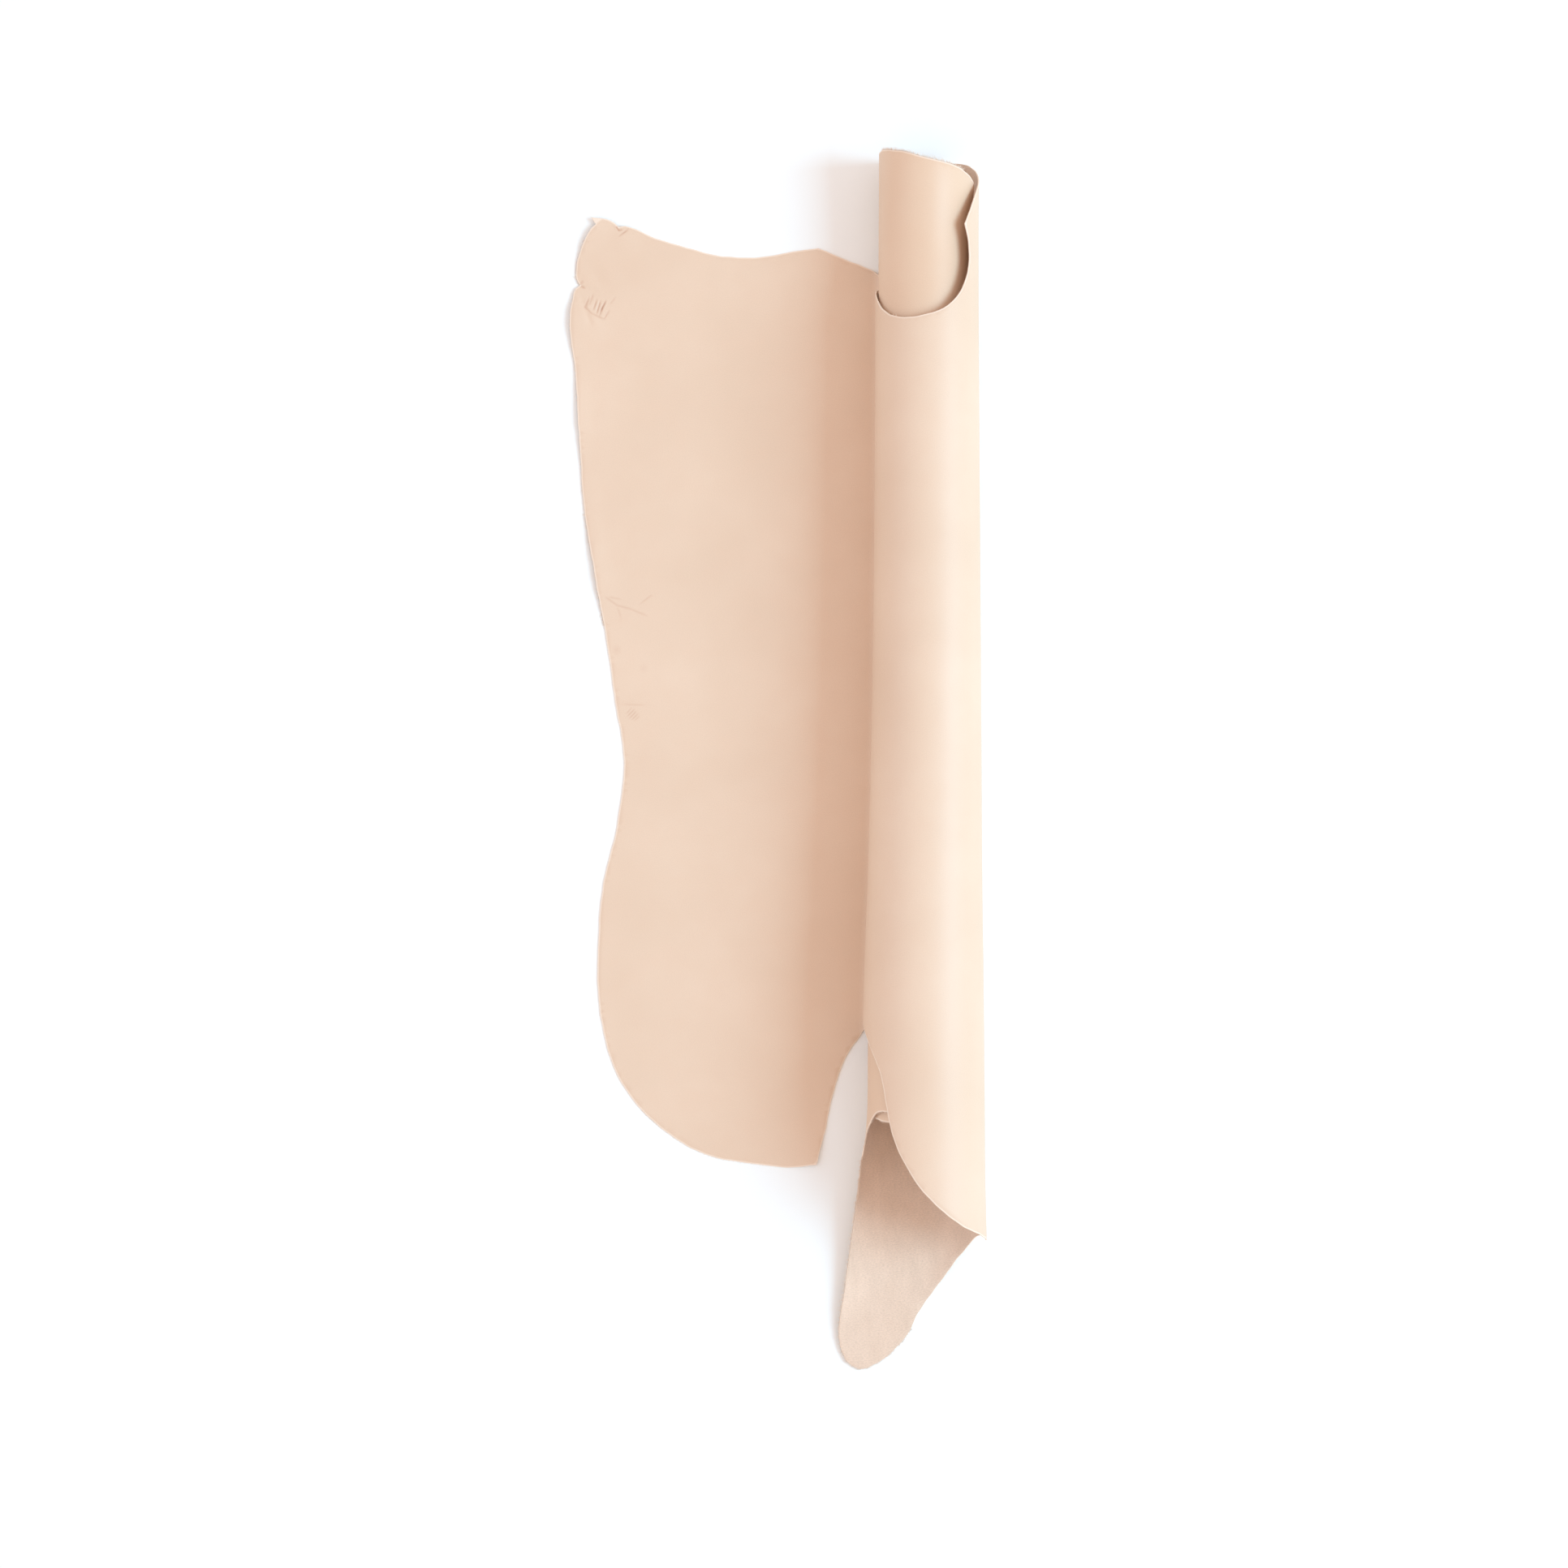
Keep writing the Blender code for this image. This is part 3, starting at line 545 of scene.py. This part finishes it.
def noise(tree, vector, spots, detail, rough=0.5):
    """Noise of so many spots in a metre."""
    node = tree.nodes.new("ShaderNodeTexNoise")
    node.inputs["Scale"].default_value = spots
    node.inputs["Detail"].default_value = detail
    node.inputs["Roughness"].default_value = rough
    tree.links.new(vector, node.inputs["Vector"])
    return node.outputs["Fac"]


def ramp(tree, value, stops):
    """Colours or greys between the stops of (place, colour)."""
    node = tree.nodes.new("ShaderNodeValToRGB")
    band = node.color_ramp
    while len(band.elements) < len(stops):
        band.elements.new(0.5)
    for element, (place, colour) in zip(band.elements, stops):
        element.position = place
        element.color = tuple(colour) + (1.0,) if len(colour) == 3 else (colour[0],) * 3 + (1.0,)
    tree.links.new(value, node.inputs["Fac"])
    return node.outputs["Color"]


def blend(tree, kind, amount, first, second):
    """One colour over another: kind is the way, amount its strength or a link to it."""
    node = tree.nodes.new("ShaderNodeMix")
    node.data_type = "RGBA"
    node.blend_type = kind
    for name, value in (("Factor", amount), ("A", first), ("B", second)):
        socket = node.inputs[name]
        if isinstance(value, (int, float)):
            socket.default_value = value
        elif isinstance(value, tuple):
            socket.default_value = value + (1.0,)
        else:
            tree.links.new(value, socket)
    return node.outputs["Result"]


def raised(tree, shader, heights):
    """Bump from (height, depth in metres) pairs, one over the other."""
    under = None
    for height, depth in heights:
        bump = tree.nodes.new("ShaderNodeBump")
        bump.inputs["Distance"].default_value = depth
        bump.inputs["Strength"].default_value = 1.0
        tree.links.new(height, bump.inputs["Height"])
        if under is not None:
            tree.links.new(under, bump.inputs["Normal"])
        under = bump.outputs["Normal"]
    tree.links.new(under, shader.inputs["Normal"])


# Grain side: smooth undyed leather, pale with a pink cast, faintly mottled, satin. Its narrow creases
# carry painted shade, the inner turns a painted warm shade, and a pale line follows the cut, partly the
# raw edge's paler colour and partly a painted highlight.
GRAIN_DEEP, GRAIN_PALE = (0.735, 0.540, 0.387), (0.780, 0.584, 0.427)
BLUSH, BLUSH_SHARE = (0.76, 0.535, 0.378), (0.22, 0.22, 0.22)
CREASE_SHADE_BROWN = (0.60, 0.36, 0.24)
INNER_WARM_SHADE = (0.975, 0.935, 0.895)
CUT_PALE_AND_HIGHLIGHT = (0.93, 0.78, 0.63)
CUT_LINE_FROM, CUT_LINE_TO, CUT_LINE_SHARE = 0.5 * MM, 1.6 * MM, 0.7
AS_IS = (1.0, 1.0, 1.0)

grain, tree, shader = finish_of("grain side")
flat_map = mapped(tree, AS_IS)
cloud = ramp(tree, noise(tree, flat_map, spots=7.0, detail=3.0), ((0.3, GRAIN_DEEP), (0.7, GRAIN_PALE)))
patches = noise(tree, flat_map, spots=38.0, detail=4.0, rough=0.6)
blush = ramp(tree, patches, ((0.42, (0.0,)), (0.72, (1.0,))))
blush = blend(tree, "MULTIPLY", 1.0, blush, BLUSH_SHARE)
colour = blend(tree, "MIX", blush, cloud, BLUSH)
grains = noise(tree, flat_map, spots=900.0, detail=2.0)
speck = ramp(tree, grains, ((0.35, (0.965,)), (0.6, (1.0,))))
colour = blend(tree, "MULTIPLY", 1.0, colour, speck)
# Painted warm shade on the inner turns, where the outer turn covers them.
inner = tree.nodes.new("ShaderNodeAttribute")
inner.attribute_name = "covered"
colour = blend(tree, "MULTIPLY", inner.outputs["Fac"], colour, INNER_WARM_SHADE)
# Painted shade at the bottom of narrow creases.
crease_shade = tree.nodes.new("ShaderNodeAttribute")
crease_shade.attribute_name = "crease"
colour = blend(tree, "MIX", crease_shade.outputs["Fac"], colour, CREASE_SHADE_BROWN)
# A pale line along the cut: partly the raw edge's paler colour, partly a painted highlight.
margin = tree.nodes.new("ShaderNodeAttribute")
margin.attribute_name = "to_edge"
cut_highlight = tree.nodes.new("ShaderNodeMapRange")
cut_highlight.inputs["From Min"].default_value = CUT_LINE_FROM
cut_highlight.inputs["From Max"].default_value = CUT_LINE_TO
cut_highlight.inputs["To Min"].default_value = CUT_LINE_SHARE
cut_highlight.inputs["To Max"].default_value = 0.0
tree.links.new(margin.outputs["Fac"], cut_highlight.inputs["Value"])
colour = blend(tree, "MIX", cut_highlight.outputs["Result"], colour, CUT_PALE_AND_HIGHLIGHT)
tree.links.new(colour, shader.inputs["Base Color"])
shader.inputs["Roughness"].default_value = 0.5
shader.inputs["IOR"].default_value = 1.45
pores = noise(tree, flat_map, spots=1400.0, detail=2.0)
swells = noise(tree, flat_map, spots=60.0, detail=3.0)
raised(tree, shader, ((swells, 0.2 * MM), (pores, 0.04 * MM)))
mesh.materials.append(grain)

# Flesh side: short suede nap, greyer, with the knife's long faint strokes along the hide.
FLESH_DEEP, FLESH_PALE = (0.745, 0.558, 0.416), (0.815, 0.621, 0.473)
NAP_STRETCH, STROKE_STRETCH = (0.7, 1.5, 1.0), (2.2, 0.7, 1.0)

flesh, tree, shader = finish_of("flesh side")
flat_map = mapped(tree, AS_IS)
nap = noise(tree, mapped(tree, NAP_STRETCH), spots=560.0, detail=6.0, rough=0.7)
stroke_noise = noise(tree, mapped(tree, STROKE_STRETCH), spots=30.0, detail=4.0, rough=0.6)
strokes = ramp(tree, stroke_noise, ((0.35, (0.955,)), (0.65, (1.015,))))
patches = noise(tree, flat_map, spots=16.0, detail=4.0, rough=0.6)
cloud = ramp(tree, patches, ((0.3, FLESH_DEEP), (0.7, FLESH_PALE)))
colour = blend(tree, "MULTIPLY", 1.0, cloud, ramp(tree, nap, ((0.34, (0.84,)), (0.6, (1.02,)))))
colour = blend(tree, "MULTIPLY", 1.0, colour, strokes)
tree.links.new(colour, shader.inputs["Base Color"])
shader.inputs["Roughness"].default_value = 0.95
shader.inputs["Specular IOR Level"].default_value = 0.2
shader.inputs["Sheen Weight"].default_value = 0.25
shader.inputs["Sheen Roughness"].default_value = 0.6
raised(tree, shader, ((nap, 0.25 * MM),))
mesh.materials.append(flesh)

# Rim: the raw cut through the middle of the hide, a little lighter, partly its own paler colour and
# partly a painted highlight.
RIM_DEEP = (0.84, 0.66, 0.51)

rim_finish, tree, shader = finish_of("cut rim")
flat_map = mapped(tree, AS_IS)
fibre = noise(tree, flat_map, spots=1600.0, detail=4.0, rough=0.7)
colour = ramp(tree, fibre, ((0.3, RIM_DEEP), (0.65, CUT_PALE_AND_HIGHLIGHT)))
tree.links.new(colour, shader.inputs["Base Color"])
shader.inputs["Roughness"].default_value = 0.9
raised(tree, shader, ((fibre, 0.3 * MM),))
mesh.materials.append(rim_finish)

# The loose fibres that the knife leaves on the raw cut edge, longest at the crown and on
# the hind shank: short bent strands of the hide itself, each rooted in the rim.
# Zones of the edge: turn from and to, along from and to in millimetres, strands in a
# centimetre, their mean length in millimetres.
FRAYED = (
    (5.2, 6.5, 660, 700, 60, 2.5), (4.6, 5.0, -600, -410, 48, 2.6), (4.0, 5.0, -650, -600, 34, 1.8),
    (4.9, 6.2, -400, -340, 70, 1.4), (8.4, 10.2, -380, -350, 60, 1.2), (3.0, 4.2, -620, -500, 14, 0.9),
    (-4.0, -2.6, 553, 606, 30, 1.4), (-4.0, -2.6, 300, 552, 20, 1.1), (-4.0, -2.6, 176, 300, 30, 1.7),
    (-4.0, -1.0, -425, -360, 12, 1.1), (-3.2, -1.2, 585, 630, 9, 0.8), (-1.2, 0.2, 560, 600, 7, 0.6),
    (1.0, 2.7, 480, 606, 12, 0.8), (2.4, 3.4, 600, 690, 12, 0.8), (0.1, 3.1, -500, -255, 5, 0.5),
    (6.5, 7.2, 640, 668, 14, 0.9),
)

# How each strand leaves the edge: height in the rim, from and to, in half thicknesses, the
# root's depth in it, the spreads of its lean along the edge and of its rise, the spreads of
# its bend along the edge and upwards, and its length and thickness in millimetres. Its tip
# is thinner by TAPER, its corners are set out from the direction SIDEWAYS_OF, and it lies
# ABOVE_FLOOR millimetres off the floor or higher.
ROOT_FROM, ROOT_TO, ROOT_DEPTH = -0.8, 0.6, 0.15
LEAN, RISE_MEAN, RISE = 0.55, 0.05, 0.22
SWAY, LIFTING = 0.5, 0.2
LENGTH_SHIFT, LENGTH_SPREAD, LONGEST = -0.15, 0.5, 5.5
THIN, THICK = 0.12, 0.26
TAPER = 0.7
SIDEWAYS_OF = (0.31, 0.47, 0.83)
ABOVE_FLOOR = 0.1


def fibres(root, way, over, length, thick):
    """Three-sided strands: the middle line of each is root + length (s way + s^2 over), with
    s from 0 to 1 in three steps, and its corners stand thick (1 - TAPER s) off it: twelve
    points a strand, closed at root and tip."""
    s = np.linspace(0, 1, 4)[None, :, None]
    line = root[:, None] + length[:, None, None] * (s * way[:, None] + s**2 * over[:, None])
    side = np.cross(way, SIDEWAYS_OF)
    side /= np.linalg.norm(side, axis=1)[:, None]
    up = np.cross(side, way)
    up /= np.linalg.norm(up, axis=1)[:, None]
    angle = np.arange(3) * 2 * math.pi / 3
    spoke = (np.cos(angle)[None, :, None] * side[:, None]
             + np.sin(angle)[None, :, None] * up[:, None])
    points = line[:, :, None] + (thick[:, None, None] * (1 - TAPER * s))[..., None] * spoke[:, None]
    first = np.arange(len(root))[:, None, None] * 12
    level, corner = np.meshgrid(np.arange(3), np.arange(3), indexing="ij")
    a, b = level * 3 + corner, level * 3 + (corner + 1) % 3
    sides = first + np.stack((a, a + 3, b + 3, b), axis=-1).reshape(1, 9, 4)
    ends = first + np.array(((0, 1, 2), (9, 11, 10)))[None]
    return points.reshape(-1, 3), sides.reshape(-1, 4), ends.reshape(-1, 3)


chance = np.random.default_rng(7)
rim_turn, rim_along = turn[order], along[order] / MM
rim_step = np.linalg.norm(np.roll(middle_layer[order], -1, axis=0) - middle_layer[order], axis=1) / MM
roots, ways, bends, lengths = [], [], [], []
for turn_from, turn_to, along_from, along_to, density, mean_length in FRAYED:
    here = np.flatnonzero((rim_turn >= turn_from) & (rim_turn <= turn_to)
                          & (rim_along >= along_from) & (rim_along <= along_to))
    amount = int(rim_step[here].sum() / 10 * density)
    share = np.cumsum(rim_step[here])
    at = here[np.minimum(np.searchsorted(share, chance.random(amount) * share[-1]), len(here) - 1)]
    slip = chance.random(amount)[:, None]
    nearby = (at + 1) % ring
    base = middle_layer[order][at] * (1 - slip) + middle_layer[order][nearby] * slip
    level = chance.uniform(ROOT_FROM, ROOT_TO, amount)[:, None]
    along_rim = middle_layer[order][nearby] - middle_layer[order][at]
    along_rim /= np.linalg.norm(along_rim, axis=1)[:, None]
    outward, skyward = rim_out[at], normal[order][at]
    roots.append(base + skyward * level * SHEET / 2 - outward * ROOT_DEPTH * MM)
    lean = chance.normal(0, LEAN, amount)[:, None]
    tip = chance.normal(RISE_MEAN, RISE, amount)[:, None]
    way = outward + along_rim * lean + skyward * tip
    ways.append(way / np.linalg.norm(way, axis=1)[:, None])
    sway = chance.normal(0, SWAY, amount)[:, None]
    bends.append(along_rim * sway + skyward * chance.normal(0, LIFTING, amount)[:, None])
    lengths.append(mean_length * MM * chance.lognormal(LENGTH_SHIFT, LENGTH_SPREAD, amount))
roots, ways, bends, lengths = (np.concatenate(part) for part in (roots, ways, bends, lengths))
lengths = np.minimum(lengths, LONGEST * MM)
thick = chance.uniform(THIN, THICK, len(roots)) * MM
points, sides, ends = fibres(roots, ways, bends, lengths, thick)
points[:, 2] = np.maximum(points[:, 2], ABOVE_FLOOR * MM)

fray_mesh = bpy.data.meshes.new("edge fibres")
corners = np.concatenate((sides.ravel(), ends.ravel())).astype(np.int32)
sizes = np.concatenate((np.full(len(sides), 4), np.full(len(ends), 3)))
fray_mesh.vertices.add(len(points))
fray_mesh.vertices.foreach_set("co", points.ravel())
fray_mesh.loops.add(len(corners))
fray_mesh.loops.foreach_set("vertex_index", corners)
fray_mesh.polygons.add(len(sizes))
starts = np.concatenate(([0], np.cumsum(sizes)[:-1])).astype(np.int32)
fray_mesh.polygons.foreach_set("loop_start", starts)
fray_mesh.polygons.foreach_set("use_smooth", np.ones(len(sizes), bool))
fray_mesh.update(calc_edges=True)
fray_mesh.validate()
fray = bpy.data.objects.new("edge_fibres", fray_mesh)
bpy.context.scene.collection.objects.link(fray)
fibre_finish, tree, shader = finish_of("loose fibre")
shader.inputs["Base Color"].default_value = (0.90, 0.74, 0.60, 1.0)
shader.inputs["Roughness"].default_value = 0.9
shader.inputs["Specular IOR Level"].default_value = 0.2
fray_mesh.materials.append(fibre_finish)
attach(fray, "root")

# Floor, light and camera: a pale studio floor under even warm light, with a broad cool
# light from the right and a weak one from the left, and the camera straight above. Distances
# are in metres, the width of the camera's sensor in millimetres.
CAMERA_HEIGHT = 3.5
FRAME_WIDTH = 1.7388
SENSOR_WIDTH = 36.0
REACH = 60

floor_mesh = bpy.data.meshes.new("floor")
floor_corners = [(-REACH, -REACH, 0), (REACH, -REACH, 0), (REACH, REACH, 0), (-REACH, REACH, 0)]
floor_mesh.from_pydata(floor_corners, [], [(0, 1, 2, 3)])
floor = bpy.data.objects.new("floor", floor_mesh)
bpy.context.scene.collection.objects.link(floor)
pale, tree, shader = finish_of("pale floor")
shader.inputs["Base Color"].default_value = (0.91, 0.925, 0.89, 1.0)
shader.inputs["Roughness"].default_value = 0.9
shader.inputs["Specular IOR Level"].default_value = 0.0
floor_mesh.materials.append(pale)
floor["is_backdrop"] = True

world = bpy.data.worlds.new("studio")
bpy.context.scene.world = world
world.use_nodes = True
world.node_tree.nodes["Background"].inputs["Color"].default_value = (0.985, 0.85, 0.82, 1.0)
world.node_tree.nodes["Background"].inputs["Strength"].default_value = 0.995


def softbox(name, place, size, power, colour):
    """A square area light at place that faces the middle of the floor."""
    lamp = bpy.data.lights.new(name, "AREA")
    lamp.shape = "SQUARE"
    lamp.size = size
    lamp.energy = power
    lamp.color = colour
    holder = bpy.data.objects.new(name, lamp)
    x, y, z = place
    holder.location = place
    holder.rotation_euler = (math.atan2(math.hypot(x, y), z), 0.0, math.atan2(y, x) + math.pi / 2)
    bpy.context.scene.collection.objects.link(holder)


softbox("key light", place=(3.0, 0.0, 2.4), size=2.0, power=120.5, colour=(0.408, 0.745, 1.0))
softbox("fill light", place=(-3.0, 0.0, 2.0), size=2.5, power=20.0, colour=(0.15, 0.60, 1.0))

camera = bpy.data.cameras.new("camera")
camera.sensor_width = SENSOR_WIDTH
camera.lens = SENSOR_WIDTH * CAMERA_HEIGHT / FRAME_WIDTH
above = bpy.data.objects.new("camera", camera)
above.location = (-centre[0], -centre[1], CAMERA_HEIGHT)
bpy.context.scene.collection.objects.link(above)
bpy.context.scene.camera = above
bpy.context.scene.view_settings.view_transform = "Standard"

low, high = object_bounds()
